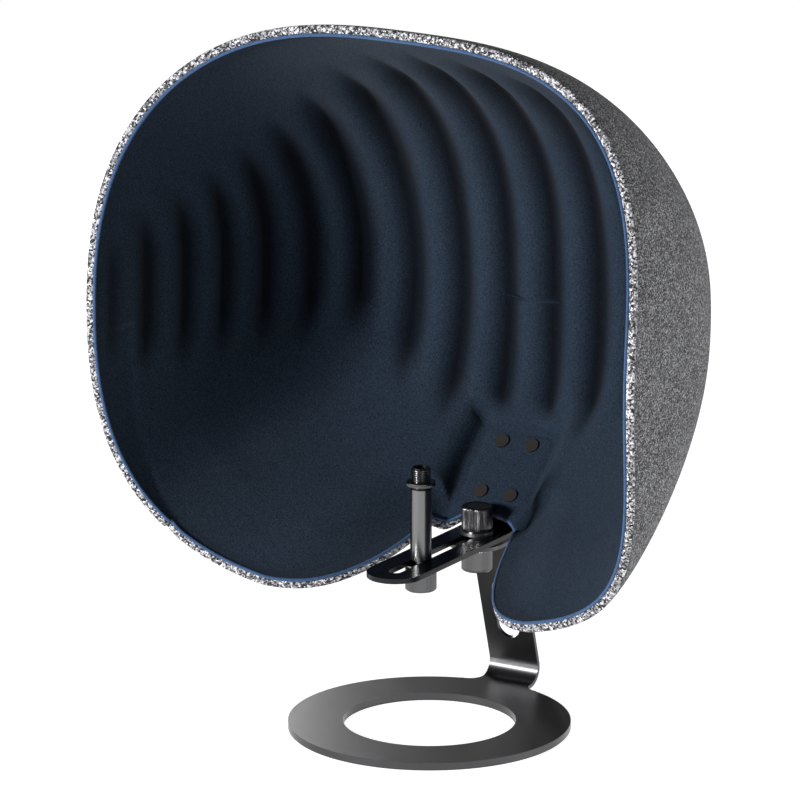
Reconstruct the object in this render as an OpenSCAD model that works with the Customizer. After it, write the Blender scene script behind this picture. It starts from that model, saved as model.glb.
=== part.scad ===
// Microphone isolation shield on a desk stand.
// Millimetres. Origin: centre of the base ring at desk level. +Z up, the bowl opens towards -Y, +X is
// to the right of someone who looks into the bowl.

/* [Desk stand] */
// Outer diameter of the base ring
ring_d = 224; // [200:1:260]
// Diameter of the hole in the base ring
ring_hole_d = 137; // [110:1:150]
// Thickness of the bent stand plate
plate_t = 3; // [2.5:0.1:3.5]
// Thickness of the weight ring under the stand plate
weight_t = 2.4; // [2:0.1:4]
// Thickness of the anti-slip pad
pad_t = 0.8; // [0.5:0.1:1.5]
// Width of the upright and its flange
upright_w = 45; // [40:1:50]
// Forward lean of the upright in degrees
upright_lean = 15.7; // [10:0.1:20]
// Width of the opening in the upright
window_w = 20; // [14:1:24]
// Length of the opening in the upright, along the slope
window_l = 54; // [40:1:60]

/* [Slotted bracket] */
// Height of the bar's top face above the desk
bar_top = 141.7; // [135:0.1:150]
// Thickness of the bar
bar_t = 4; // [3:0.1:5]
// Width of the bar
bar_w = 45; // [40:1:50]
// Width of the slot
slot_w = 11; // [10.5:0.1:12]
// Distance from the clamp to the centre of the bar's round front end
bar_reach = 124; // [110:1:130]
// Distance between the two columns of binding posts
post_gap_x = 27.4; // [24:0.1:32]
// Distance between the two rows of binding posts, along the slope
post_gap_s = 47; // [40:0.5:50]

/* [Clamp and microphone post] */
// Distance of the clamp behind the centre of the base ring
clamp_y = 72.5; // [65:0.5:80]
// Distance of the microphone post in front of the clamp
mic_post_reach = 85.5; // [70:0.5:100]
// Diameter of the knurled knob and nuts
knob_d = 24.8; // [22:0.1:28]
// Height of the clamp knob
knob_h = 20.2; // [16:0.1:24]
// Height of the knurled nuts
nut_h = 19.6; // [16:0.1:24]
// Diameter of the studs
stud_d = 10; // [9:0.1:10]
// Diameter of the microphone post
tube_d = 17; // [16.5:0.1:18]
// Height of the post's plain part
tube_h = 58.3; // [50:0.1:80]
// Major diameter of the 5/8 inch microphone thread
thread_d = 15.875; // [15.875:0.001:15.875]
// Length of the microphone thread
thread_h = 17; // [14:0.5:20]

/* [Bowl] */
// Half of the bowl's width
half_w = 247.5; // [230:0.5:260]
// Height of the widest level of the rim above the desk
rim_mid_z = 345.7; // [340:0.1:350]
// Height of the rim's upper half
rim_up = 225.1; // [220:0.1:230]
// Height of the rim's lower half
rim_down = 240.7; // [238:0.1:243]
// Depth of the bowl's back behind the base ring's centre
back_y = 172; // [165:1:178]
// Height of the bowl's rearmost point
back_z = 314; // [305:1:320]
// Thickness of the fabric cover
cover_t = 1.2; // [1:0.1:1.5]
// Thickness of the moulded EVA shell
shell_t = 5.8; // [4.5:0.1:6.5]
// Thickness of the lining fabric
lining_t = 1; // [0.8:0.1:1.5]
// Thickness of the acoustic foam at its ribs
foam_t = 12; // [8:1:16]
// Diameter of the piping round the edge
piping_d = 2.2; // [1.6:0.1:3]
// Distance of the notch's inner end behind the base ring's centre
notch_y = 97; // [94:1:99]

/* [Hidden] */
$fn = 96;

// ---- Heights and places that follow from the driving dimensions ----
ring_r = ring_d / 2;
hole_r = ring_hole_d / 2;
plate_z = pad_t + weight_t;              // underside of the stand plate
plate_top = plate_z + plate_t;
bar_bottom = bar_top - bar_t;
washer_t = 2.5;                          // the friction washer between the bar and the flange
flange_top = bar_bottom - washer_t;
flange_z = flange_top - plate_t;
thin_washer_t = 1.2;
top_washer_t = 2.6;
top_washer_r = 13.5;
nut_top = flange_z - thin_washer_t;      // of the clamp's lower nut
mic_y = clamp_y - mic_post_reach;
post_nut_top = bar_bottom - thin_washer_t;
run = 0.05;                              // radial clearance of a running fit

// ---- The bent upright, in the plane Y, Z ----
bend_r = 12;                             // inside radius of the lower bend
top_bend_r = 5;                          // inside radius of the top bend
lean_y = 131.6;                          // a point on the upright's front face
lean_z = 16.3;
// Y of the centre of an arc of inside radius r, at height z, that touches the upright's front face
function arc_y(r, z) = lean_y - (r + (z - lean_z) * sin(upright_lean)) / cos(upright_lean);
bend_z = plate_top + bend_r;
bend_y = arc_y(bend_r, bend_z);
top_bend_z = flange_z - top_bend_r;
top_bend_y = arc_y(top_bend_r, top_bend_z);

// ---- The bracket's leg: it lies on the bowl's flat seat, which rises at 45 degrees ----
seat_y = 124.8;                          // centre of the seat on the bowl's outer face
seat_z = 176.65;
bracket_bend_r = 10;
seat_corner_y = seat_y - (seat_z - bar_top);  // where the seat's plane meets the bar's top plane
leg_end = post_gap_s / 2 + 11;           // from the seat's centre to the leg's upper end
leg_start = (seat_y - seat_corner_y) * sqrt(2) - bracket_bend_r * tan(22.5);

// ---- The bowl's outer face ----
// The rim is a superellipse in front view. Each point of it is carried back to the bowl's rearmost
// point along a superellipse quadrant, and v is the angle along that quadrant: 0 at the rim, 90 at
// the back.
rim_up_n = 2.77;
rim_down_n = 3.33;
rim_front_y = -120.5;                    // the rim's foremost point
function signed_pow(a, p) = sign(a) * pow(abs(a), p);
function rim_x(t) = half_w * signed_pow(cos(t), 2 / (sin(t) >= 0 ? rim_up_n : rim_down_n));
function rim_h(t) = sin(t) >= 0 ? rim_up * signed_pow(sin(t), 2 / rim_up_n)
                                : rim_down * signed_pow(sin(t), 2 / rim_down_n);
function rim_y(x, h) = rim_front_y + 0.0457 * h + 0.001378 * h * h + 9.8 * pow(x / half_w, 2);
function low(h) = h < 0 ? pow(h / 240, 2) : 0;   // 0 at mid height, 1 at the bottom
function high(h) = h > 0 ? pow(h / 240, 2) : 0;  // 0 at mid height, 1 near the top
function falloff(a, full, none) =
    a <= full ? 1 : a >= none ? 0 : (1 + cos(180 * (a - full) / (none - full))) / 2;
// 1 on the flat seat for the bracket, and 0 away from it
function seat_share(x, y, z) =
    falloff(abs(x), 33, 62) * falloff(abs(y - seat_y + z - seat_z) / sqrt(2), 42, 68);
function seated(p) = [p[0], p[1],
    p[2] + seat_share(p[0], p[1], p[2]) * (seat_z + p[1] - seat_y - p[2])];
function free_face(t, v) =
    let (x = rim_x(t), h = rim_h(t), y = rim_y(x, h),
         s = pow(sin(v), 2 / (1.31 - 0.12 * low(h))))
    [x * (pow(cos(v), 2 / (4.8 - 2.25 * high(h) - 4.16 * low(h)))
          + 0.4 * low(h) * pow(sin(v), 16) * sqrt(cos(v))),
     y * (1 - s) + back_y * s,
     back_z + (rim_mid_z + h - back_z) * pow(cos(v), 2 / (2.75 + 0.75 * low(h)))];
function face(t, v) = seated(free_face(t, v));
step_t = 0.5;
step_v = 0.5;
function unit(a) = a / norm(a);
// Unit normal that points into the bowl
function inward(t, v) = v > 89 ? [0, -1, 0] :
    unit(cross(face(t + step_t, v) - face(t - step_t, v),
               face(t, v + step_v) - face(t, max(v - step_v, 0))));

// ---- The grid that the bowl's layers share: N lines from the rim to the back, M rings ----
N = 72;
// v of each ring
ring_v = [0, 9, 18, 28, 39, 50, 60, 70, 78, 84.5, 88.5, 90];
M = len(ring_v) - 1;
// t of the line whose point on the rim lies near the angle a in front view
function line_t(a) = let (p = (sin(a) >= 0 ? rim_up_n : rim_down_n) / 2)
    atan2(signed_pow(sin(a), p), signed_pow(cos(a), p));
base_points = [for (v = ring_v) [for (i = [0:N - 1]) face(line_t(360 * i / N), v)]];
normals = [for (v = ring_v) [for (i = [0:N - 1]) inward(line_t(360 * i / N), v)]];

// ---- The notch, in plan: its half width at a distance d in front of its inner end ----
function notch_half(d) = d <= 0 ? 0 :
    41 * sqrt(1 - exp(-d / 12)) + 10 * pow(d / 69, 2.2) + 25 * pow(d / 150, 14);
function in_notch_width(p) = abs(p[0]) - notch_half(notch_y - p[1]);
// v on the line t where the face is at y
function v_at_y(t, y, lo = 0, hi = 80, n = 16) = n == 0 ? (lo + hi) / 2 :
    let (mid = (lo + hi) / 2)
    face(t, mid)[1] < y ? v_at_y(t, y, mid, hi, n - 1) : v_at_y(t, y, lo, mid, n - 1);
// t of the line that passes through x at the same y, on the bowl's lower right
function t_at(x, y, lo = -90, hi = -20, n = 16) = n == 0 ? (lo + hi) / 2 :
    let (mid = (lo + hi) / 2)
    face(mid, v_at_y(mid, y))[0] < x ? t_at(x, y, mid, hi, n - 1) : t_at(x, y, lo, mid, n - 1);
// Angle t at which the notch's edge meets the rim
function corner_t(lo = -89, hi = -20, n = 20) = n == 0 ? (lo + hi) / 2 :
    let (mid = (lo + hi) / 2)
    in_notch_width(face(mid, 0)) < 0 ? corner_t(mid, hi, n - 1) : corner_t(lo, mid, n - 1);
notch_steps = 12;
rim_steps = 44;
mouth_t = corner_t();
mouth_d = notch_y - face(mouth_t, 0)[1];
// Pairs of t and v along the notch's right edge, from its inner end to the rim
notch_line = [for (i = [0:notch_steps - 1]) let (d = mouth_d * pow(i / notch_steps, 1.3),
    y = notch_y - d, t = i == 0 ? -90 : t_at(notch_half(d), y)) [t, v_at_y(t, y)]];
rim_line = [for (i = [0:rim_steps]) [mouth_t + (90 - mouth_t) * i / rim_steps, 0]];
right_line = concat(notch_line, rim_line);
// The whole edge as a loop: up the right side from the notch, over the top and down the left side
edge_line = concat(right_line,
    [for (i = [len(right_line) - 2:-1:1]) [180 - right_line[i][0], right_line[i][1]]]);
E = len(edge_line);
edge_points = [for (e = edge_line) face(e[0], e[1])];
edge_normals = [for (e = edge_line) inward(e[0], e[1])];
// Unit vectors that point out of the wall at its edge
outwards = [for (i = [0:E - 1])
    unit(cross(edge_points[(i + 1) % E] - edge_points[(i + E - 1) % E], edge_normals[i]))];

wall_t = cover_t + shell_t;
edge_gap = 0.5;                          // keeps the folded strip clear of the wall
piping_gap = 0.9;                        // keeps the piping clear of the seam
seat_foam_t = 1.6;
// Distance from the notch's edge
function notch_gap(p) = p[1] > notch_y ? norm([p[0], p[1] - notch_y]) : in_notch_width(p);
// Thickness of the foam: it fades in from the rim and the notch, and is thin over the seat
function foam_at(i, j) = let (p = base_points[j][i], s = seat_share(p[0], p[1], p[2]),
    full = foam_t * [0, 0.12, 0.5, 0.85, 1][min(j, 4)],
    fade = p[2] > back_z ? 1 : 1 - falloff(notch_gap(p), 5, 60))
    j == 0 ? 0 : max(0.4, full * fade * (1 - s) + seat_foam_t * s);
function sheet(depth) = [for (j = [0:M]) [for (i = [0:N - 1])
    base_points[j][i] + normals[j][i] * depth[j][i]]];
function even(depth) = [for (j = [0:M]) [for (i = [0:N - 1]) depth]];
function over_foam(depth) = [for (j = [0:M]) [for (i = [0:N - 1]) depth + foam_at(i, j)]];

// ---- Shared shapes ----
// A closed solid from rings of N points. The first and last rings are single points at the back. The
// bands after the first `turn` ones are split along the other diagonal, so that the facets of two
// layers that share a sheet are the same.
module ringed_solid(first, rings, last, turn) {
    count = len(rings);
    points = concat([first], [for (r = rings) for (p = r) p], [last]);
    polyhedron(points, concat(
        [for (i = [0:N - 1]) [0, 1 + i, 1 + (i + 1) % N]],
        [for (k = [0:count - 2]) for (i = [0:N - 1])
            let (a = 1 + k * N + i, b = 1 + k * N + (i + 1) % N)
            each k < turn ? [[a, a + N, b + N], [a, b + N, b]] : [[a, a + N, b], [b, a + N, b + N]]],
        [for (i = [0:N - 1]) let (a = 1 + (count - 1) * N)
            [a + (i + 1) % N, a + i, 1 + count * N]]));
}

// A bowl-shaped layer between an outer and an inner sheet, from ring j0 to the back
module layer(outer, inner, j0 = 0) {
    ringed_solid(outer[M][0],
        concat([for (j = [M - 1:-1:j0]) outer[j]], [for (j = [j0:M - 1]) inner[j]]),
        inner[M][0], M - j0);
}

// Moves a sheet's rim back along the wall, to leave room for the folded cover
function drawn_back(s, by) = [for (j = [0:M]) [for (i = [0:N - 1])
    j == 0 ? s[0][i] + by * unit(s[1][i] - s[0][i]) : s[j][i]]];

// Cuts the notch out, with the wall standing back from its edge by a margin
module notched(margin) {
    steps = 40;
    side = [for (i = [0:steps]) let (d = (mouth_d + 12) * pow(i / steps, 2))
        [notch_half(d) + margin, notch_y + margin - d]];
    difference() {
        children();
        translate([0, 0, 90]) linear_extrude(110)
            polygon(concat([[0, notch_y + margin]], side,
                [for (i = [steps:-1:0]) [-side[i][0], side[i][1]]]));
    }
}

// A closed tube along a stretch of the edge, whose section is given by pairs of numbers:
// how far it stands out of the wall's edge, and its depth under the outer face
module edge_tube(section, from, to) {
    K = len(section);
    closed = to - from == E;
    L = closed ? E : to - from + 1;
    points = [for (k = [0:L - 1]) let (i = (from + k + E) % E) for (c = section)
        edge_points[i] + outwards[i] * c[0] + edge_normals[i] * c[1]];
    polyhedron(points, concat(
        [for (k = [0:closed ? L - 1 : L - 2]) for (c = [0:K - 1])
            let (a = k * K + c, b = k * K + (c + 1) % K,
                 d = ((k + 1) % L) * K + c, e = ((k + 1) % L) * K + (c + 1) % K)
            each [[a, b, e], [a, e, d]]],
        closed ? [] : [[for (c = [K - 1:-1:0]) c], [for (c = [0:K - 1]) (L - 1) * K + c]]));
}

module seat_frame() {
    translate([0, seat_y, seat_z]) rotate([45, 0, 0]) children();
}

module at_binding_posts() {
    for (x = [-1, 1], s = [-1, 1]) translate([x * post_gap_x / 2, s * post_gap_s / 2, 0]) children();
}

post_r = 2.4;                            // the binding posts' barrels

// Room for the backing plate between two depths under the seat
module plate_recess(from, to) {
    seat_frame() translate([-31.5, -33.5, from]) cube([63, 67, to - from]);
}

module binding_holes(r) {
    seat_frame() at_binding_posts() translate([0, 0, -20]) cylinder(r = r, h = 40);
}

module rounded_plate(w, l, r, t) {
    linear_extrude(t) difference() {
        square([w, l], center = true);
        for (x = [-1, 1], y = [-1, 1]) translate([x * (w / 2 - r), y * (l / 2 - r)])
            difference() {
                translate([x > 0 ? 0 : -r - 1, y > 0 ? 0 : -r - 1]) square(r + 1);
                circle(r);
            }
    }
}

module ring(r_out, r_in, t) {
    difference() {
        cylinder(r = r_out, h = t);
        translate([0, 0, -1]) cylinder(r = r_in, h = t + 2);
    }
}

// A slice of a pipe's end view between two angles less than 180 degrees apart
module arc_slice(r_in, t, from, to) {
    far = 3 * (r_in + t);
    mid = (from + to) / 2;
    intersection() {
        difference() { circle(r_in + t); circle(r_in); }
        polygon([[0, 0], far * [cos(from), sin(from)], far * [cos(mid), sin(mid)],
                 far * [cos(to), sin(to)]]);
    }
}

// Stands a drawing of the plane Y, Z up and gives it a width along X
module side_extrude(w) {
    rotate([90, 0, 90]) translate([0, 0, -w / 2]) linear_extrude(w) children();
}

module stadium(w, l) {
    straight = l - w;
    square([w, straight], center = true);
    for (s = [-1, 1]) translate([0, s * straight / 2]) circle(w / 2);
}

// ---- Desk stand ----
fillet_r = 12;                           // where the tab leaves the ring
fillet_x = upright_w / 2 + fillet_r;
fillet_y = sqrt(pow(ring_r + fillet_r, 2) - pow(fillet_x, 2));
base_screw_r = 1.5;
base_screw_ring = 90;                    // radius of the screws' circle
base_screw_l = 3.6;

module at_base_screws() {
    for (a = [45:90:315]) rotate([0, 0, a]) translate([base_screw_ring, 0, 0]) children();
}

module ring_plan() {
    difference() {
        union() {
            circle(ring_r);
            difference() {
                translate([-fillet_x, 0]) square([2 * fillet_x, bend_y]);
                for (s = [-1, 1]) translate([s * fillet_x, fillet_y]) circle(fillet_r);
                for (s = [-1, 1]) translate([s * (upright_w / 2 + fillet_r) - fillet_r, fillet_y])
                    square([2 * fillet_r, 40]);
            }
        }
        circle(hole_r);
    }
}

module upright_side() {
    foot_y = bend_y + bend_r * cos(upright_lean);
    foot_z = bend_z + bend_r * sin(upright_lean);
    head_y = top_bend_y + top_bend_r * cos(upright_lean);
    head_z = top_bend_z + top_bend_r * sin(upright_lean);
    across = plate_t * [cos(upright_lean), sin(upright_lean)];
    // a hair of overlap joins the straight part to both bends
    lap = 0.02 * [-sin(upright_lean), cos(upright_lean)];
    translate([bend_y, bend_z]) arc_slice(bend_r, plate_t, -90, upright_lean);
    polygon([[foot_y, foot_z] - lap, [foot_y, foot_z] + across - lap,
             [head_y, head_z] + across + lap, [head_y, head_z] + lap]);
    translate([top_bend_y, top_bend_z]) arc_slice(top_bend_r, plate_t, upright_lean, 90);
    // the straight stretches before the lower bend and after the top one
    translate([ring_r - 5, plate_z]) square([bend_y - ring_r + 5, plate_t]);
    translate([clamp_y, flange_z]) square([top_bend_y - clamp_y, plate_t]);
}

module stand_frame() {
    window_z = 66.9;
    window_y = lean_y - (window_z - lean_z) * tan(upright_lean);
    color("#2b2c2e") difference() {
        union() {
            translate([0, 0, plate_z]) linear_extrude(plate_t) ring_plan();
            side_extrude(upright_w) upright_side();
            translate([0, clamp_y, flange_z]) cylinder(r = upright_w / 2, h = plate_t);
        }
        translate([0, window_y, window_z]) rotate([90 + upright_lean, 0, 0])
            translate([0, 0, -10]) linear_extrude(20) stadium(window_w, window_l);
        translate([0, clamp_y, flange_z - 1]) cylinder(r = stud_d / 2 + run, h = plate_t + 2);
        at_base_screws() translate([0, 0, plate_z - 1]) cylinder(r = base_screw_r, h = 3);
    }
}

module base_weight_ring() {
    color("#3a3b3d") difference() {
        translate([0, 0, pad_t]) ring(ring_r, hole_r, weight_t);
        at_base_screws() translate([0, 0, pad_t - 1]) cylinder(r = base_screw_r, h = 5);
        at_base_screws() translate([0, 0, pad_t]) cylinder(r1 = 2 * base_screw_r, r2 = base_screw_r, h = 1.5);
    }
}

module base_pad() {
    color("#151515") ring(ring_r - 0.8, hole_r, pad_t);
}

module base_screws() {
    color("#8c8c8c") at_base_screws() translate([0, 0, pad_t]) {
        cylinder(r = base_screw_r, h = base_screw_l);
        cylinder(r1 = 2 * base_screw_r, r2 = base_screw_r, h = 1.5);
    }
}

// ---- Clamp ----
module at_clamp(z) {
    translate([0, clamp_y, z]) children();
}

module clamp_stud() {
    color("#4a4a4a") at_clamp(nut_top - 14) cylinder(r = stud_d / 2, h = bar_top + 16 - nut_top + 14);
}

module clamp_top_washer() {
    color("#77787a") at_clamp(bar_top) ring(top_washer_r, stud_d / 2 + 0.2, top_washer_t);
}

module friction_washer() {
    color("#1b1b1b") at_clamp(flange_top) ring(11.5, stud_d / 2 + 0.2, washer_t);
}

module clamp_bottom_washer() {
    color("#77787a") at_clamp(nut_top) ring(top_washer_r, stud_d / 2 + 0.2, thin_washer_t);
}

// A knurled cap nut with its mouth at z = 0, a short neck and a blind thread
module cap_nut(h, thread_l) {
    neck_h = 1;
    difference() {
        union() {
            cylinder(r = knob_d / 2 - 1.2, h = neck_h);
            translate([0, 0, neck_h]) cylinder(r = knob_d / 2, h = h - neck_h);
        }
        translate([0, 0, -1]) cylinder(r = stud_d / 2 + run, h = thread_l + 1);
    }
}

module clamp_knob() {
    color("#3c3d3f") at_clamp(bar_top + top_washer_t) cap_nut(knob_h, 14.5);
}

module clamp_nut() {
    color("#3c3d3f") at_clamp(nut_top) mirror([0, 0, 1]) cap_nut(nut_h, 14.5);
}

// ---- Slotted bracket ----
module bracket_side() {
    bend_c = [seat_corner_y - bracket_bend_r * tan(22.5), bar_top + bracket_bend_r];
    translate([clamp_y - bar_reach, bar_bottom]) square([bend_c[0] - clamp_y + bar_reach, bar_t]);
    translate(bend_c) arc_slice(bracket_bend_r, bar_t, -90, -45);
    translate([seat_y, seat_z]) rotate(45)
        translate([-leg_start, -bar_t]) square([leg_start + leg_end, bar_t]);
}

module slotted_bracket() {
    front_y = clamp_y - bar_reach;
    corner_r = 8;
    color("#242527") difference() {
        union() {
            side_extrude(bar_w) bracket_side();
            translate([0, front_y, bar_bottom]) cylinder(r = bar_w / 2, h = bar_t);
        }
        // the slot ends at the clamp, and its front end is concentric with the bar's
        translate([0, (front_y + clamp_y + 0.5) / 2, bar_bottom - 1]) linear_extrude(bar_t + 2)
            stadium(slot_w, clamp_y + 0.5 - front_y + slot_w);
        binding_holes(post_r);
        // round corners on the leg's upper end
        seat_frame() for (s = [-1, 1])
            translate([s * (bar_w / 2 - corner_r), leg_end - corner_r, -bar_t - 1]) difference() {
                translate([s > 0 ? 0 : -corner_r - 1, 0, 0]) cube([corner_r + 1, corner_r + 1, bar_t + 2]);
                cylinder(r = corner_r, h = bar_t + 2);
            }
    }
}

// Flat heads inside the bowl, on the lining, with a barrel through the wall
module binding_posts() {
    head_z = wall_t + 1.6 + lining_t;
    color("#4b4744") seat_frame() at_binding_posts() difference() {
        union() {
            translate([0, 0, -bar_t + 0.5]) cylinder(r = post_r, h = head_z + bar_t - 0.5);
            translate([0, 0, head_z]) cylinder(r = 5.8, h = 1.5);
        }
        translate([0, 0, -bar_t]) cylinder(r = 1.5, h = 10);
    }
}

module binding_screws() {
    color("#4b4744") seat_frame() at_binding_posts() {
        translate([0, 0, -bar_t - 1.5]) cylinder(r = 5, h = 1.5);
        translate([0, 0, -bar_t]) cylinder(r = 1.5, h = 9.5);
    }
}

module backing_plate() {
    color("#8a8c8e") difference() {
        seat_frame() translate([0, 0, wall_t + 0.05]) rounded_plate(62, 66, 8, 1.5);
        binding_holes(post_r);
    }
}

// ---- Bowl ----
module outer_cover() {
    skin = sheet(even(0));
    under = sheet(even(cover_t));
    lip = sheet(even(wall_t));
    color("#6d6e70") difference() {
        notched(cover_t + edge_gap) ringed_solid(skin[M][0],
            concat([for (j = [M - 1:-1:0]) skin[j]],
                   [lip[0], drawn_back(lip, cover_t)[0], drawn_back(under, cover_t)[0]],
                   [for (j = [1:M - 1]) under[j]]),
            under[M][0], M + 1);
        binding_holes(post_r);
    }
}

// The strip of the cover's fabric that is folded over the notch's edge
module notch_binding() {
    color("#6d6e70") edge_tube([[0, 0], [0, wall_t], [-cover_t + 0.1, wall_t], [-cover_t + 0.1, 0]],
        -notch_steps, notch_steps);
}

module eva_shell() {
    color("#2c2d30") difference() {
        notched(cover_t + edge_gap) layer(drawn_back(sheet(even(cover_t)), cover_t),
                                          drawn_back(sheet(even(wall_t)), cover_t));
        binding_holes(post_r);
        plate_recess(wall_t - 0.1, wall_t + 4);
    }
}

module foam_liner() {
    color("#3a4048") difference() {
        notched(4) layer(sheet(even(wall_t)), sheet(over_foam(wall_t)), 1);
        plate_recess(wall_t - 1, wall_t + 4);
    }
}

module lining() {
    color("#22344d") difference() {
        notched(0.2) layer(sheet(over_foam(wall_t)), sheet(over_foam(wall_t + lining_t)));
        binding_holes(post_r);
        plate_recess(wall_t - 1, wall_t + 1.7);
    }
}

// Piping that runs round the whole edge, on the seam between the folded cover and the lining
module edge_piping() {
    r = piping_d / 2;
    sides = 8;
    color("#3f5f92") edge_tube([for (k = [0:sides - 1])
        [piping_gap + r - r * cos(360 * k / sides), wall_t + r * sin(360 * k / sides)]], 0, E);
}

// ---- Microphone post ----
module at_post(z) {
    translate([0, mic_y, z]) children();
}

neck_r = 7.4;                            // root of the thread, which the lock ring turns on
neck_h = 6.3;

module mic_post() {
    chamfer = 1;
    color("#3c3d3f") at_post(bar_top) difference() {
        union() {
            cylinder(r = tube_d / 2, h = tube_h);
            cylinder(r = neck_r, h = tube_h + neck_h);
            translate([0, 0, tube_h + neck_h])
                cylinder(r = thread_d / 2, h = thread_h - neck_h - chamfer);
            translate([0, 0, tube_h + thread_h - chamfer])
                cylinder(r1 = thread_d / 2, r2 = thread_d / 2 - chamfer, h = chamfer);
        }
        translate([0, 0, -1]) cylinder(r = stud_d / 2, h = 15);
    }
}

module post_stud() {
    color("#4a4a4a") at_post(post_nut_top - 14)
        cylinder(r = stud_d / 2, h = bar_top + 12 - post_nut_top + 14);
}

module post_washer() {
    color("#77787a") at_post(post_nut_top) ring(11.5, stud_d / 2 + 0.2, thin_washer_t);
}

module post_nut() {
    color("#3c3d3f") at_post(post_nut_top) mirror([0, 0, 1]) cap_nut(nut_h, 14.5);
}

module lock_ring() {
    color("#55565a") at_post(bar_top + tube_h + 2) ring(11.5, neck_r + run, 3.6);
}

stand_frame();
base_weight_ring();
base_pad();
base_screws();
clamp_stud();
clamp_top_washer();
friction_washer();
clamp_bottom_washer();
clamp_knob();
clamp_nut();
slotted_bracket();
binding_posts();
binding_screws();
backing_plate();
outer_cover();
notch_binding();
eva_shell();
foam_liner();
lining();
edge_piping();
mic_post();
post_stud();
post_washer();
post_nut();
lock_ring();
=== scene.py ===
"""Microphone isolation shield on a desk stand: the looks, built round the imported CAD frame."""
import math

import bpy
import numpy as np
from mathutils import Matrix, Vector


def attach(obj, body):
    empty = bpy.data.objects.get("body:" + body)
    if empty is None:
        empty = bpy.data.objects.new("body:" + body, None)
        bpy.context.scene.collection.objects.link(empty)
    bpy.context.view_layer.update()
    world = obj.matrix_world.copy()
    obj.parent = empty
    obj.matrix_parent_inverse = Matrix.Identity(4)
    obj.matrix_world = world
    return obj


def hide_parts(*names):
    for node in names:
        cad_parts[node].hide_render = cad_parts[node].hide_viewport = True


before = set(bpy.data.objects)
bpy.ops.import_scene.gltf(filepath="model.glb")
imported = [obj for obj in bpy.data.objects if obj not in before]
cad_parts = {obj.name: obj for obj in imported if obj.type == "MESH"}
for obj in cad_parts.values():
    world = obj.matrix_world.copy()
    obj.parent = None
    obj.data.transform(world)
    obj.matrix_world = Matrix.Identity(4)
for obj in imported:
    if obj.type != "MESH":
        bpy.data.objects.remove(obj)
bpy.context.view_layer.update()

MM = 0.001

# ---- The bowl's outer face, in millimetres: the same formulas as the CAD ----
HALF_W, RIM_MID_Z, RIM_UP, RIM_DOWN = 247.5, 345.7, 225.1, 240.7
BACK_Y, BACK_Z = 172.0, 314.0
SEAT_Y, SEAT_Z = 124.8, 176.65
NOTCH_Y = 97.0
COVER_T, WALL_T, FOAM_T, LINING_T, SEAT_FOAM_T = 1.2, 7.0, 12.0, 1.0, 1.6


def signed_pow(a, p):
    return np.sign(a) * np.abs(a) ** p


def falloff(a, full, none):
    """1 up to full, 0 from none on, and a smooth step between them."""
    share = np.clip((a - full) / (none - full), 0, 1)
    return (1 + np.cos(np.pi * share)) / 2


def rise(a, low, high):
    """0 up to low and 1 from high on."""
    return 1 - falloff(a, low, high)


def seat_share(x, y, z):
    """1 on the flat seat for the bracket, and 0 away from it."""
    slope = np.abs(y - SEAT_Y + z - SEAT_Z) / math.sqrt(2)
    return falloff(np.abs(x), 33, 62) * falloff(slope, 42, 68)


def face(t, v):
    """Points of the outer face. t goes round the rim, and v from the rim to the rearmost point."""
    upper = np.sin(t) >= 0
    n = np.where(upper, 2.77, 3.33)
    x = HALF_W * signed_pow(np.cos(t), 2 / n)
    h = np.where(upper, RIM_UP, RIM_DOWN) * signed_pow(np.sin(t), 2 / n)
    y = -120.5 + 0.0457 * h + 0.001378 * h * h + 9.8 * (x / HALF_W) ** 2
    low = np.where(h < 0, (h / 240) ** 2, 0)
    high = np.where(h > 0, (h / 240) ** 2, 0)
    c = np.clip(np.cos(v), 0, 1)
    s = np.sin(v)
    back = s ** (2 / (1.31 - 0.12 * low))
    px = x * (c ** (2 / (4.8 - 2.25 * high - 4.16 * low)) + 0.4 * low * s ** 16 * np.sqrt(c))
    py = y * (1 - back) + BACK_Y * back
    pz = BACK_Z + (RIM_MID_Z + h - BACK_Z) * c ** (2 / (2.75 + 0.75 * low))
    pz = pz + seat_share(px, py, pz) * (SEAT_Z + py - SEAT_Y - pz)
    return np.stack([px, py, pz], -1)


def notch_half(d):
    """Half width of the notch at a distance d in front of its inner end."""
    d = np.maximum(d, 0)
    return 41 * np.sqrt(1 - np.exp(-d / 12)) + 10 * (d / 69) ** 2.2 + 25 * (d / 150) ** 14


def unit(a):
    return a / np.maximum(np.linalg.norm(a, axis=-1, keepdims=True), 1e-9)


def halved(low, high, below, steps=30):
    """Bisection on arrays: below(mid) is true where the answer is higher than mid."""
    for _ in range(steps):
        mid = (low + high) / 2
        up = below(mid)
        low = np.where(up, mid, low)
        high = np.where(up, high, mid)
    return (low + high) / 2


def line_at(angle, v):
    """t of the point at v that lies at an angle from straight down, round the rearmost point."""
    def below(t):
        p = face(t, v)
        return np.arctan2(p[..., 0], BACK_Z - p[..., 2]) < angle
    quarter = np.pi / 2
    return halved(np.full(angle.shape, -quarter), np.full(angle.shape, quarter), below)


def edge_v(angle):
    """v of the bowl's edge at an angle: 0 on the rim, more along the notch."""
    def in_notch(v):
        p = face(line_at(angle, v), v)
        return (notch_half(NOTCH_Y - p[..., 1]) > p[..., 0]) & (angle < 0.9)
    v = halved(np.zeros(angle.shape), np.full(angle.shape, 1.4), in_notch)
    return np.where(v < 1e-6, 0, v)


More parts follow.
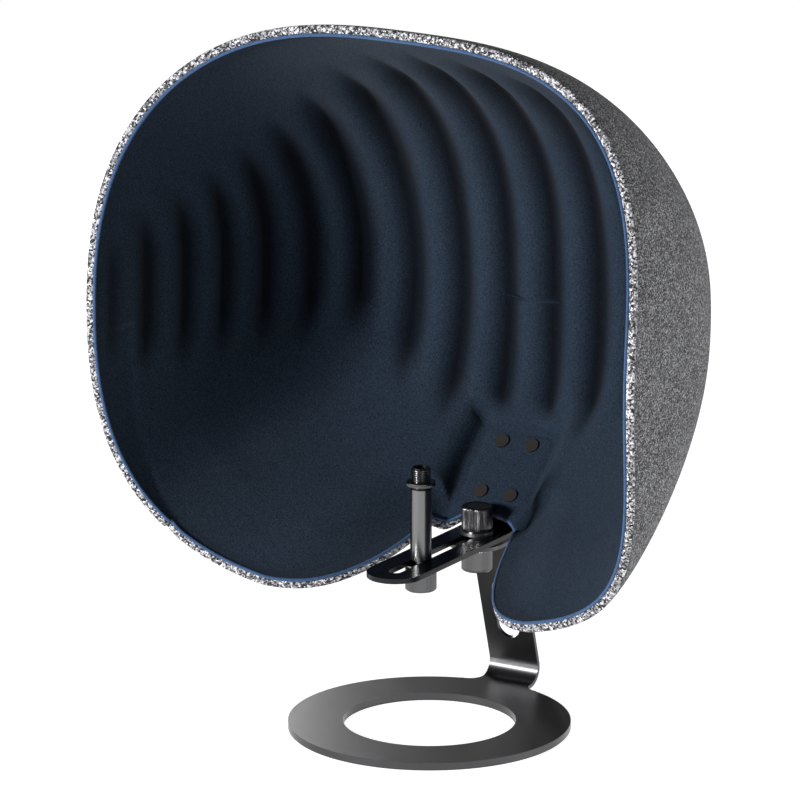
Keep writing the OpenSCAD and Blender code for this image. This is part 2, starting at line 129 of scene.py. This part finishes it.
def bowl_grid(edge_step, rows):
    """Points, inward normals and v on lines from the edge to the back, right half then left half."""
    dense = np.linspace(0, np.pi, 3000)
    v = edge_v(dense)
    edge = face(line_at(dense, v), v)
    length = np.r_[0, np.cumsum(np.linalg.norm(np.diff(edge, axis=0), axis=1))]
    angle = np.interp(np.linspace(0, length[-1], int(length[-1] / edge_step)), length, dense)
    spread = np.radians([0, 9, 18, 28, 39, 50, 60, 70, 78, 84.5, 88.3, 89.75])
    share = np.interp(np.linspace(0, 11, rows), np.arange(12), spread / (np.pi / 2))
    start = edge_v(angle)[:, None]
    v = start + (np.pi / 2 - start) * share[None, :]
    t = line_at(np.repeat(angle[:, None], rows, 1), v)
    points = face(t, v)
    step = 0.004
    v_safe = np.clip(v, step, np.pi / 2 - 4 * step)
    t_safe = line_at(np.repeat(angle[:, None], rows, 1), v_safe)
    normals = unit(np.cross(face(t_safe + step, v_safe) - face(t_safe - step, v_safe),
                            face(t_safe, v_safe + step) - face(t_safe, v_safe - step)))
    # close to the rearmost point the cross product is weak, and normals lean to straight forward
    normals[v > 1.5] = unit(normals[v > 1.5] * 0.3 + [0, -0.7, 0])
    # the first and last lines lie in the middle plane
    normals[0, :, 0] = normals[-1, :, 0] = 0
    flip = [-1, 1, 1]
    return (np.concatenate([points, points[-2:0:-1] * flip]),
            np.concatenate([unit(normals), unit(normals)[-2:0:-1] * flip]),
            np.concatenate([v, v[-2:0:-1]]))


points, normals, grid_v = bowl_grid(2.9, 150)
LINES, ROWS = grid_v.shape
edge, edge_normal = points[:, 0], normals[:, 0]
edge_out = unit(np.cross(np.roll(edge, -1, 0) - np.roll(edge, 1, 0), edge_normal))


RIB_PITCH = 42.0
RIB_RELIEF = 0.88          # share of the foam that a groove between two ribs takes away
PANEL_W, PANEL_L, PANEL_CORNER = 63.0, 67.0, 8.0
PANEL_LINE_W, PANEL_LINE_DEPTH = 2.6, 0.9
BEHIND_LINING = 18.0       # depth at which the ribs' spacing is measured


def foam_thickness():
    """Thickness of the foam: it fades in from the rim and the notch, and is thin over the seat."""
    full = np.interp(np.degrees(grid_v), [0, 9, 18, 28, 39], [0, 0.12, 0.5, 0.85, 1]) * FOAM_T
    x, y, z = points[..., 0], points[..., 1], points[..., 2]
    gap = np.where(y > NOTCH_Y, np.hypot(x, y - NOTCH_Y), np.abs(x) - notch_half(NOTCH_Y - y))
    beside = falloff(gap, 5, 60) * (z < BACK_Z)
    seat = seat_share(x, y, z)
    return np.maximum(0.4, full * (1 - beside) * (1 - seat) + SEAT_FOAM_T * seat)


def rib_valley():
    """How far each point lies down in a groove between two ribs, 0 to 1. The ribs stand upright."""
    inner = points + normals * BEHIND_LINING
    v = np.linspace(np.radians(89.9), 0, 400)
    section = face(np.zeros(400), v)
    tangent = unit(np.gradient(section, axis=0))
    inward = unit(np.stack([-tangent[:, 1], tangent[:, 0], 0 * v], -1))
    inside = np.array([0, -60, 330])
    inward *= np.sign((inward * (inside - section)).sum(1))[:, None]
    section = section + inward * BEHIND_LINING
    start = section[0, 0]
    length = start + np.r_[0, np.cumsum(np.linalg.norm(np.diff(section, axis=0), axis=1))]
    x = np.abs(inner[..., 0])
    along = np.where(x < start, x, np.interp(x, section[:, 0], length))
    # wide rounded crests with a narrow groove between them
    crest = ((np.cos(np.pi * along / RIB_PITCH) ** 2 + 0.012) / 1.012) ** 0.55
    z = inner[..., 2]
    # the ribs fade out towards the rim, the notch and the seat
    top = 540 - 62 * (x / 150) ** 2
    bottom = 207 + 40 * np.minimum(x / 105, 1.35) ** 2
    mask = falloff(z, top - 40, top + 16) * rise(z, bottom - 18, bottom + 34)
    mask = mask * rise(np.degrees(grid_v), 4, 14) * (1 - seat_share(*np.moveaxis(points, -1, 0)))
    return (1 - crest) * mask


def panel_groove():
    """The pressed line round the panel that carries the four rivets, 0 to 1."""
    x, y, z = points[..., 0], points[..., 1], points[..., 2]
    slope = (y - SEAT_Y + z - SEAT_Z) / math.sqrt(2)
    qx = np.abs(x) - (PANEL_W / 2 - PANEL_CORNER)
    qs = np.abs(slope - 1) - (PANEL_L / 2 - PANEL_CORNER)
    outside = np.hypot(np.maximum(qx, 0), np.maximum(qs, 0))
    away = outside + np.minimum(np.maximum(qx, qs), 0) - PANEL_CORNER
    near = np.abs(y - SEAT_Y - z + SEAT_Z) < 60
    return np.exp(-(away / PANEL_LINE_W) ** 2) * near


foam = foam_thickness()
valley = rib_valley()
groove = panel_groove()
lining_depth = WALL_T + LINING_T + foam * (1 - RIB_RELIEF * valley) - PANEL_LINE_DEPTH * groove

# ---- Meshes ----


def add_piece(name, verts, faces, body, replaced, smooth_angle=None):
    """A smooth-shaded piece from points in millimetres, which rides a body of the frame."""
    mesh = bpy.data.meshes.new(name)
    mesh.from_pydata((np.asarray(verts) * MM).tolist(), [], faces)
    mesh.validate()
    mesh.shade_smooth()
    if smooth_angle:
        mesh.set_sharp_from_angle(angle=math.radians(smooth_angle))
    piece = bpy.data.objects.new(name, mesh)
    bpy.context.scene.collection.objects.link(piece)
    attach(piece, body)
    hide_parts(*replaced)
    return piece


def ring_faces(rings, count, inward=True, closed=False):
    """Quads between rings of count points each. A closed one joins the last ring to the first."""
    faces = []
    for r in range(rings if closed else rings - 1):
        below, above = r * count, (r + 1) % rings * count
        for i in range(count):
            j = (i + 1) % count
            quad = (below + i, below + j, above + j, above + i)
            faces.append(quad if inward else quad[::-1])
    return faces


def rows_at(depth):
    """The grid's rings at a depth under the outer face, each from the bottom round to the left."""
    return [points[:, r] + normals[:, r] * np.broadcast_to(depth, grid_v.shape)[:, r, None]
            for r in range(ROWS)]


def edge_ring(out, depth):
    return edge + edge_out * out + edge_normal * depth


def capped(rings, inward):
    """Rings from the edge to the back, closed by one point at the back."""
    verts = np.concatenate(rings + [rings[-1].mean(0)[None]])
    count, last = len(rings[0]), len(rings) - 1
    faces = ring_faces(len(rings), count, inward)
    tip = len(verts) - 1
    for i in range(count):
        tri = (last * count + i, last * count + (i + 1) % count, tip)
        faces.append(tri if inward else tri[::-1])
    return verts, faces


def shallowest(depth, reach=4):
    """The least depth within a few lines and rows of each point."""
    least = depth.copy()
    for shift in range(-reach, reach + 1):
        least = np.minimum(least, np.roll(depth, shift, 0))
    spread = least.copy()
    for shift in range(1, reach + 1):
        spread[:, shift:] = np.minimum(spread[:, shift:], least[:, :-shift])
        spread[:, :-shift] = np.minimum(spread[:, :-shift], least[:, shift:])
    return spread


def closed_layer(outer, inner, every=3):
    """A solid layer between two depths, on a coarser grid."""
    pick = list(range(0, ROWS - 1, every)) + [ROWS - 1]
    outer_rows, inner_rows = rows_at(outer), rows_at(inner)
    out_v, out_f = capped([outer_rows[r][::every] for r in pick], False)
    in_v, in_f = capped([inner_rows[r][::every] for r in pick], True)
    count, shift = len(outer_rows[0][::every]), len(out_v)
    rim = [(shift + i, i, (i + 1) % count, shift + (i + 1) % count) for i in range(count)]
    faces = out_f + [tuple(k + shift for k in f) for f in in_f] + [f[::-1] for f in rim]
    return np.concatenate([out_v, in_v]), faces


# the cover runs from the back to the edge, folds over it and tucks in behind the lining: the fold's
# section is in steps outward from the edge and inward from the outer face
strip = [(0, 0), (0.8, 0.15), (1.5, 0.7), (1.9, 1.7), (2.05, 3.2), (1.95, 4.7), (1.5, 5.9), (0.8, 6.7),
         (-0.5, 7.1), (-3, 7.3)]
cover_rings = [edge_ring(o, d) for o, d in strip[::-1]] + rows_at(0)[1:]
cover_v, cover_f = capped(cover_rings, False)
cover = add_piece("bowl_cover", cover_v, cover_f, "shield", ("outer_cover", "notch_binding"))

shell_v, shell_f = closed_layer(COVER_T + 0.3, WALL_T - 0.3)
shell = add_piece("bowl_shell", shell_v, shell_f, "shield", ("eva_shell",))
foam_v, foam_f = closed_layer(WALL_T - 0.2, np.maximum(shallowest(lining_depth) - 1.4, WALL_T - 0.1))
foam_piece = add_piece("bowl_foam", foam_v, foam_f, "shield", ("foam_liner",))

lining_rings = [edge_ring(-0.6, WALL_T + 0.2), edge_ring(-0.2, WALL_T + 0.6)] + rows_at(lining_depth)
lining_v, lining_f = capped(lining_rings, True)
lining = add_piece("bowl_lining", lining_v, lining_f, "shield", ("lining",))
# painted shade: how far each point lies down in a groove, kept for the felt to darken its colour there
painted_groove_shade = lining.data.attributes.new("painted_groove_shade", "FLOAT", "POINT")
painted_groove_shade.data.foreach_set("value", np.r_[np.zeros(2 * LINES), valley.T.ravel(), 0].astype(np.float32))

PIPE_R, PIPE_SIDES = 1.35, 10
pipe_rings = []
for k in range(PIPE_SIDES):
    a = 2 * math.pi * k / PIPE_SIDES
    pipe_rings.append(edge_ring(0.75 - PIPE_R * math.cos(a), WALL_T + 0.75 + PIPE_R * math.sin(a)))
piping = add_piece("bowl_piping", np.concatenate(pipe_rings),
                   ring_faces(PIPE_SIDES, LINES, inward=False, closed=True),
                   "shield", ("edge_piping",))


TURNED_SEGMENTS, SEGMENTS_PER_TOOTH = 96, 6
KNURL_DEPTH = 0.34
THREAD_PITCH, THREAD_DEPTH = 1.7, 0.62
AXIS_R = 0.01              # a ring this small closes a profile on its axis


def turned(name, profile, y, z, body, replaced, teeth=0, closed=False, up=True):
    """A turned part: a profile of (height, radius, kind), "" plain, "k" knurled or "t" thread."""
    segments = teeth * SEGMENTS_PER_TOOTH if teeth else TURNED_SEGMENTS
    a = np.arange(segments) * 2 * np.pi / segments
    rings = []
    for height, radius, kind in profile:
        r = np.full(segments, float(radius))
        if kind == "k":
            r -= KNURL_DEPTH * (0.5 - 0.5 * np.cos(teeth * a)) ** 0.8
        if kind == "t":
            phase = (height / THREAD_PITCH - a / (2 * np.pi)) % 1
            r -= THREAD_DEPTH * np.abs(2 * phase - 1) ** 1.2
        level = z + (height if up else -height)
        rings.append(np.stack([r * np.cos(a), y + r * np.sin(a), np.full(segments, level)], -1))
    faces = ring_faces(len(rings), segments, up, closed=closed)
    verts = np.concatenate(rings)
    if not closed:
        tips = [rings[0].mean(0), rings[-1].mean(0)]
        verts = np.concatenate([verts, tips])
        first, last, base = len(verts) - 2, len(verts) - 1, (len(rings) - 1) * segments
        for i in range(segments):
            j = (i + 1) % segments
            ends = [(j, i, first), (base + i, base + j, last)]
            faces += [f if up else f[::-1] for f in ends]
    return add_piece(name, verts, faces, body, replaced, smooth_angle=38)


CLAMP_Y, POST_Y = 72.5, -13.0
KNOB_R, KNOB_H, NUT_H, DISH = 12.4, 20.2, 19.6, 0.5
STUD_BORE_R, STUD_BORE_DEPTH = 5.05, 14.5
KNOB_UNDERSIDE, CLAMP_NUT_TOP, POST_NUT_TOP = 144.3, 131.0, 136.5


def cap_nut_profile(h):
    """A knurled knob or nut with a bore in its near end, a step under the knurls and a dished face."""
    body = [(STUD_BORE_DEPTH, AXIS_R, ""), (STUD_BORE_DEPTH, STUD_BORE_R, ""), (0, STUD_BORE_R, ""),
            (0, KNOB_R - 1.3, ""), (0.9, KNOB_R - 1.3, ""), (1.0, KNOB_R - 0.55, ""),
            (1.5, KNOB_R, "k")]
    body += [(1.5 + (h - 2.6) * k / 8, KNOB_R, "k") for k in range(1, 9)]
    body += [(h - 0.6, KNOB_R - 0.55, ""), (h, KNOB_R - 1.2, ""), (h, KNOB_R - 2.2, ""),
             (h - DISH, KNOB_R - 2.8, ""), (h - DISH, AXIS_R, "")]
    return body


knob = turned("knob_knurled", cap_nut_profile(KNOB_H), CLAMP_Y, KNOB_UNDERSIDE, "clamp_knob",
              ("clamp_knob",), teeth=64)
clamp_nut = turned("clamp_nut_knurled", cap_nut_profile(NUT_H), CLAMP_Y, CLAMP_NUT_TOP, "clamp_nut",
                   ("clamp_nut",), teeth=64, up=False)
post_nut = turned("post_nut_knurled", cap_nut_profile(NUT_H), POST_Y, POST_NUT_TOP, "post_nut",
                  ("post_nut",), teeth=64, up=False)

BAR_TOP, TUBE_H, THREAD_H, THREAD_R, POST_R = 141.7, 58.3, 17.0, 7.9375, 8.5
SOCKET_R, SOCKET_DEPTH = 5.0, 14             # for the stud, from below
TOP_BORE_R, TOP_BORE_FLOOR = 5.6, TUBE_H + 8
THREAD_RINGS, THREAD_STEP = 92, 0.17
post_profile = [(SOCKET_DEPTH, AXIS_R, ""), (SOCKET_DEPTH, SOCKET_R, ""), (0, SOCKET_R, ""),
                (0, POST_R - 0.4, ""), (0.4, POST_R, "")]
post_profile += [(TUBE_H * k / 6, POST_R, "") for k in range(1, 6)]
post_profile += [(TUBE_H - 0.5, POST_R, ""), (TUBE_H, 7.5, "")]
post_profile += [(TUBE_H + 0.2 + k * THREAD_STEP, THREAD_R, "t") for k in range(THREAD_RINGS)]
post_profile += [(TUBE_H + THREAD_H, 6.9, ""), (TUBE_H + THREAD_H, TOP_BORE_R, ""),
                 (TOP_BORE_FLOOR, TOP_BORE_R, ""), (TOP_BORE_FLOOR, AXIS_R, "")]
mic_post = turned("mic_post_threaded", post_profile, POST_Y, BAR_TOP, "mic_post",
                  ("mic_post",))
ring_profile = [(0, 8.0, ""), (0, 10.9, ""), (0.5, 11.5, "k"), (1.3, 11.5, "k"), (2.1, 11.5, "k"),
                (2.2, 11.2, ""), (2.5, 11.45, ""), (3.2, 11.4, ""), (3.6, 10.9, ""), (3.6, 8.0, "")]
lock_ring = turned("lock_ring_knurled", ring_profile, POST_Y, BAR_TOP + TUBE_H + 2, "lock_ring",
                   ("lock_ring",), teeth=48, closed=True)

# ---- Materials ----


class Nodes:
    """A short way to wire a procedural material."""

    def __init__(self, name):
        self.material = bpy.data.materials.new(name)
        self.material.use_nodes = True
        self.tree = self.material.node_tree
        self.tree.nodes.clear()
        self.shader = self.tree.nodes.new("ShaderNodeBsdfPrincipled")
        output = self.tree.nodes.new("ShaderNodeOutputMaterial")
        self.link(self.shader.outputs[0], output.inputs[0])
        self.place = self.tree.nodes.new("ShaderNodeTexCoord").outputs["Object"]

    def link(self, a, b):
        self.tree.links.new(a, b)

    def set(self, **values):
        for key, value in values.items():
            self.shader.inputs[key.replace("_", " ")].default_value = value

    def noise(self, scale, detail=2.0, rough=0.5, stretch=None):
        node = self.tree.nodes.new("ShaderNodeTexNoise")
        node.inputs["Scale"].default_value = scale
        node.inputs["Detail"].default_value = detail
        node.inputs["Roughness"].default_value = rough
        self.link(self.stretched(stretch), node.inputs["Vector"])
        return node.outputs["Fac"]

    def cells(self, scale, stretch=None):
        node = self.tree.nodes.new("ShaderNodeTexVoronoi")
        node.inputs["Scale"].default_value = scale
        self.link(self.stretched(stretch), node.inputs["Vector"])
        split = self.tree.nodes.new("ShaderNodeSeparateColor")
        self.link(node.outputs["Color"], split.inputs[0])
        return split.outputs[0], node.outputs["Distance"]

    def stretched(self, stretch):
        if not stretch:
            return self.place
        node = self.tree.nodes.new("ShaderNodeMapping")
        node.inputs["Rotation"].default_value = stretch[0]
        node.inputs["Scale"].default_value = stretch[1]
        self.link(self.place, node.inputs["Vector"])
        return node.outputs[0]

    def attribute(self, name):
        node = self.tree.nodes.new("ShaderNodeAttribute")
        node.attribute_name = name
        return node.outputs["Fac"]

    def ramp(self, value, stops):
        node = self.tree.nodes.new("ShaderNodeValToRGB")
        ramp = node.color_ramp
        while len(ramp.elements) < len(stops):
            ramp.elements.new(0.5)
        for element, (at, color) in zip(ramp.elements, stops):
            element.position = at
            element.color = (*color, 1)
        self.link(value, node.inputs[0])
        return node.outputs[0]

    def mix(self, factor, a, b, how="MIX"):
        node = self.tree.nodes.new("ShaderNodeMix")
        node.data_type = "RGBA"
        node.blend_type = how
        for value, socket in ((factor, node.inputs[0]), (a, node.inputs[6]), (b, node.inputs[7])):
            if isinstance(value, (int, float)):
                socket.default_value = value
            elif isinstance(value, tuple):
                socket.default_value = (*value, 1)
            else:
                self.link(value, socket)
        return node.outputs[2]

    def color(self, value):
        self.link(value, self.shader.inputs["Base Color"])

    def roughness(self, value, low, high):
        node = self.tree.nodes.new("ShaderNodeMapRange")
        node.inputs["To Min"].default_value = low
        node.inputs["To Max"].default_value = high
        self.link(value, node.inputs[0])
        self.link(node.outputs[0], self.shader.inputs["Roughness"])

    def bump(self, value, distance, strength=1.0, onto=None):
        node = self.tree.nodes.new("ShaderNodeBump")
        node.inputs["Distance"].default_value = distance
        node.inputs["Strength"].default_value = strength
        self.link(value, node.inputs["Height"])
        if onto:
            self.link(onto, node.inputs["Normal"])
        self.link(node.outputs[0], self.shader.inputs["Normal"])
        return node.outputs[0]


def grey(v):
    return (v, v, v * 1.02)


def heathered(name, tones, scale, contrast):
    """Woven cloth of black, grey and white yarns. The flecks are about a millimetre long."""
    m = Nodes(name)
    yarn, near_yarn = m.cells(scale, ((0.5, 0.3, 0.2), (1, 0.6, 1)))
    stops = (0.0, 0.3, 0.55, 0.78, 0.95)
    flecks = m.ramp(yarn, [(at, grey(tone)) for at, tone in zip(stops, tones)])
    fine = m.ramp(m.noise(1500, 2, 0.7), [(0.3, grey(1 - contrast)), (0.7, grey(1 + contrast))])
    wide = m.ramp(m.noise(22, 3), [(0.3, grey(0.9)), (0.7, grey(1.08))])
    m.color(m.mix(1.0, m.mix(1.0, flecks, fine, "MULTIPLY"), wide, "MULTIPLY"))
    first = m.bump(near_yarn, 0.0003, 0.7)
    m.bump(m.noise(2600, 2), 0.0002, 0.4, first)
    m.set(Roughness=0.95, Sheen_Weight=0.05, Sheen_Roughness=0.5, Specular_IOR_Level=0.12)
    return m.material


def felt(name, deep, light, fleck):
    """Short-napped cloth with fine lighter fibres, and painted shade down in the grooves."""
    m = Nodes(name)
    grain = m.ramp(m.noise(820, 4, 0.8), [(0.36, deep), (0.64, light)])
    fibre = m.noise(2400, 2, 0.5, ((0.4, 0.2, 0.7), (1, 0.4, 1)))
    fibres = m.ramp(fibre, [(0.58, (0, 0, 0)), (0.74, (1, 1, 1))])
    wide = m.ramp(m.noise(9, 3), [(0.3, (0.86, 0.87, 0.9)), (0.7, (1.1, 1.08, 1.05))])
    # painted shade: darker down in the grooves between the ribs, a little lighter on the crests
    depth = m.ramp(m.attribute("painted_groove_shade"), [(0.05, (1.12, 1.12, 1.12)), (0.75, (0.22, 0.22, 0.24))])
    cloth = m.mix(1.0, m.mix(fibres, grain, fleck), wide, "MULTIPLY")
    m.color(m.mix(1.0, cloth, depth, "MULTIPLY"))
    first = m.bump(m.noise(900, 3, 0.7), 0.0004, 0.7)
    m.bump(m.noise(160, 2), 0.0005, 0.25, first)
    m.set(Roughness=0.95, Sheen_Weight=0.03, Sheen_Roughness=0.6, Specular_IOR_Level=0.08)
    return m.material


def cord_cloth(name, deep, light):
    """Piping: cloth rolled tight over a cord, with slanting yarns."""
    m = Nodes(name)
    yarn = m.noise(900, 2, 0.6, ((0.7, 0.5, 0.3), (1, 0.45, 1)))
    m.color(m.ramp(yarn, [(0.35, deep), (0.65, light)]))
    m.bump(yarn, 0.0004, 0.7)
    m.set(Roughness=0.85, Sheen_Weight=0.1, Specular_IOR_Level=0.2)
    return m.material


def coated_metal(name, base, rough, metallic=1.0):
    """Powder coat or dark plating: a fine orange-peel, small changes of gloss and faint rub marks."""
    m = Nodes(name)
    wide = m.noise(14, 4, 0.6)
    shade = m.ramp(wide, [(0.3, tuple(c * 0.96 for c in base)),
                          (0.7, tuple(c * 1.04 for c in base))])
    scratches = m.ramp(m.noise(60, 6, 0.8, ((0.3, 0.2, 0.5), (1, 7, 1))),
                       [(0.68, (0, 0, 0)), (0.8, (1, 1, 1))])
    m.color(m.mix(scratches, shade, tuple(min(1, c * 1.1) for c in base)))
    m.roughness(m.noise(35, 4, 0.7), rough - 0.03, rough + 0.04)
    m.bump(m.noise(1100, 2, 0.5), 0.00004, 0.6)
    m.set(Metallic=metallic)
    return m.material


def brushed(name, base, rough):
    """Bare or plated steel with turning marks."""
    m = Nodes(name)
    marks = m.noise(300, 3, 0.6, ((0, 0, 0), (0.15, 0.15, 9)))
    m.color(m.ramp(marks, [(0.3, tuple(c * 0.85 for c in base)), (0.7, base)]))
    m.roughness(m.noise(90, 3), rough - 0.05, rough + 0.08)
    m.bump(marks, 0.00003, 0.5)
    m.set(Metallic=1.0)
    return m.material


def soft_solid(name, base, scale, depth):
    """Moulded foam, rubber or plastic: fine cells or grain."""
    m = Nodes(name)
    cells = m.noise(scale, 3, 0.6)
    m.color(m.ramp(cells, [(0.3, tuple(c * 0.75 for c in base)), (0.7, base)]))
    m.roughness(m.noise(40, 3), 0.7, 0.9)
    m.bump(cells, depth, 0.7)
    return m.material


cover_cloth = heathered("cover_heather", (0.016, 0.05, 0.095, 0.155, 0.27), 980, 0.5)
strip_cloth = heathered("strip_heather", (0.012, 0.045, 0.2, 0.42, 0.75), 760, 0.35)
lining_felt = felt("lining_felt", (0.0045, 0.0085, 0.0155), (0.021, 0.0345, 0.056), (0.05, 0.072, 0.105))
pipe_cloth = cord_cloth("piping_cloth", (0.03, 0.064, 0.14), (0.055, 0.115, 0.24))
black_coat = coated_metal("stand_coat", (0.085, 0.085, 0.088), 0.3)
bar_coat = coated_metal("bar_coat", (0.03, 0.03, 0.031), 0.27)
gunmetal = coated_metal("knurl_plating", (0.14, 0.14, 0.143), 0.22)
post_metal = coated_metal("post_plating", (0.2, 0.2, 0.204), 0.24)
face_black = coated_metal("knob_face", (0.015, 0.015, 0.016), 0.5, metallic=0.0)
rivet_metal = coated_metal("rivet_plating", (0.14, 0.125, 0.115), 0.42)
washer_metal = brushed("washer_steel", (0.42, 0.42, 0.43), 0.28)
stud_metal = brushed("stud_steel", (0.16, 0.16, 0.165), 0.35)
foam_cells = soft_solid("foam_cells", (0.05, 0.055, 0.065), 700, 0.0004)
eva_skin = soft_solid("eva_skin", (0.03, 0.03, 0.034), 900, 0.0002)
rubber_skin = soft_solid("rubber_skin", (0.02, 0.02, 0.02), 1200, 0.0001)
nylon_skin = soft_solid("nylon_skin", (0.03, 0.03, 0.031), 600, 0.00005)


def clothe(piece, *materials):
    piece.data.materials.clear()
    for material in materials:
        piece.data.materials.append(material)


clothe(cover, cover_cloth, strip_cloth)
STRIP_ROWS = len(strip) - 1
for polygon in cover.data.polygons[:STRIP_ROWS * LINES]:
    polygon.material_index = 1
clothe(shell, eva_skin)
clothe(foam_piece, foam_cells)
clothe(lining, lining_felt)
clothe(piping, pipe_cloth)
END_FACE_BAND = 0.0007     # in metres, a little more than the dish
for piece in (knob, clamp_nut, post_nut):
    clothe(piece, gunmetal, face_black)
    # the flat end face, dished by DISH, is black
    end = max if piece is knob else min
    level = end(v.co.z for v in piece.data.vertices)
    for polygon in piece.data.polygons:
        if abs(polygon.normal.z) > 0.9 and abs(polygon.center.z - level) < END_FACE_BAND:
            polygon.material_index = 1
clothe(mic_post, post_metal)
clothe(lock_ring, gunmetal)

NODE_FINISH = {
    "stand_frame": black_coat, "base_weight_ring": black_coat, "base_pad": rubber_skin,
    "base_screws": stud_metal, "clamp_stud": stud_metal, "clamp_top_washer": washer_metal,
    "friction_washer": nylon_skin, "clamp_bottom_washer": washer_metal, "slotted_bracket": bar_coat,
    "binding_posts": rivet_metal, "binding_screws": rivet_metal, "backing_plate": washer_metal,
    "post_stud": stud_metal, "post_washer": washer_metal,
}
for node, material in NODE_FINISH.items():
    for material_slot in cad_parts[node].material_slots:
        material_slot.material = material


def soften_edges(node, width):
    """Rounds the sharp edges of a carried CAD node a little, so that they catch the light."""
    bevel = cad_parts[node].modifiers.new("soft_edges", "BEVEL")
    bevel.width = width * MM
    bevel.segments = 2
    bevel.limit_method = "ANGLE"
    bevel.angle_limit = math.radians(50)
    bevel.harden_normals = True


for node, width in (("stand_frame", 0.5), ("slotted_bracket", 0.7), ("clamp_top_washer", 0.5),
                    ("base_weight_ring", 0.4), ("binding_posts", 0.25)):
    soften_edges(node, width)

# ---- Floor, light and camera ----


def add_floor():
    size = 30
    mesh = bpy.data.meshes.new("floor")
    mesh.from_pydata([(-size, -size, 0), (size, -size, 0), (size, size, 0), (-size, size, 0)], [],
                     [(0, 1, 2, 3)])
    floor = bpy.data.objects.new("floor", mesh)
    bpy.context.scene.collection.objects.link(floor)
    m = Nodes("floor_paper")
    m.color(m.ramp(m.noise(3, 2), [(0.3, (0.3, 0.3, 0.3)), (0.7, (0.33, 0.33, 0.33))]))
    m.set(Roughness=0.9, Specular_IOR_Level=0.0, Emission_Color=(1, 1, 1, 1), Emission_Strength=0.95)
    clothe(floor, m.material)


def add_studio(levels):
    """A bright horizon and a dim ceiling: pairs of the sine of the height angle and the brightness."""
    world = bpy.data.worlds.new("studio")
    world.use_nodes = True
    tree = world.node_tree
    place = tree.nodes.new("ShaderNodeTexCoord")
    split = tree.nodes.new("ShaderNodeSeparateXYZ")
    shade = tree.nodes.new("ShaderNodeValToRGB")
    while len(shade.color_ramp.elements) < len(levels):
        shade.color_ramp.elements.new(0.5)
    for element, (at, level) in zip(shade.color_ramp.elements, levels):
        element.position = at
        element.color = (level, level, level, 1)
    tree.links.new(place.outputs["Generated"], split.inputs[0])
    tree.links.new(split.outputs["Z"], shade.inputs[0])
    tree.links.new(shade.outputs[0], tree.nodes["Background"].inputs[0])
    bpy.context.scene.world = world


def area_light(name, place, target, size, watts):
    light = bpy.data.lights.new(name, "AREA")
    light.shape = "RECTANGLE"
    light.size, light.size_y = size
    light.energy = watts
    lamp = bpy.data.objects.new(name, light)
    lamp.location = place
    lamp.rotation_euler = (Vector(target) - Vector(place)).to_track_quat("-Z", "Y").to_euler()
    bpy.context.scene.collection.objects.link(lamp)


def add_camera(azimuth, elevation, distance, target, lens):
    a, e = math.radians(azimuth), math.radians(elevation)
    back = Vector((math.sin(a) * math.cos(e), -math.cos(a) * math.cos(e), math.sin(e)))
    data = bpy.data.cameras.new("camera")
    data.lens = lens
    data.sensor_width = 36
    data.clip_end = 100
    camera = bpy.data.objects.new("camera", data)
    camera.location = Vector(target) + back * distance
    camera.rotation_euler = (-back).to_track_quat("-Z", "Y").to_euler()
    bpy.context.scene.collection.objects.link(camera)
    bpy.context.scene.camera = camera


add_floor()
add_studio([(0.0, 0.4), (0.1, 0.14), (0.35, 0.05), (0.9, 0.02)])
middle = (0, 0.02, 0.33)    # of the bowl, in metres
area_light("key", place=(-1.5, -3.3, 1.1), target=middle, size=(0.6, 0.8), watts=175)
area_light("fill_right", place=(2.6, 1.0, 0.3), target=middle, size=(0.9, 0.9), watts=60)
area_light("edge_back", place=(-1.6, 1.6, 0.6), target=(0, 0, 0.1), size=(0.6, 0.5), watts=16)
add_camera(azimuth=31.568, elevation=15.45, distance=5.877, target=(-0.0273, 0, 0.2643), lens=337.15)
bpy.context.scene.view_settings.view_transform = "Standard"
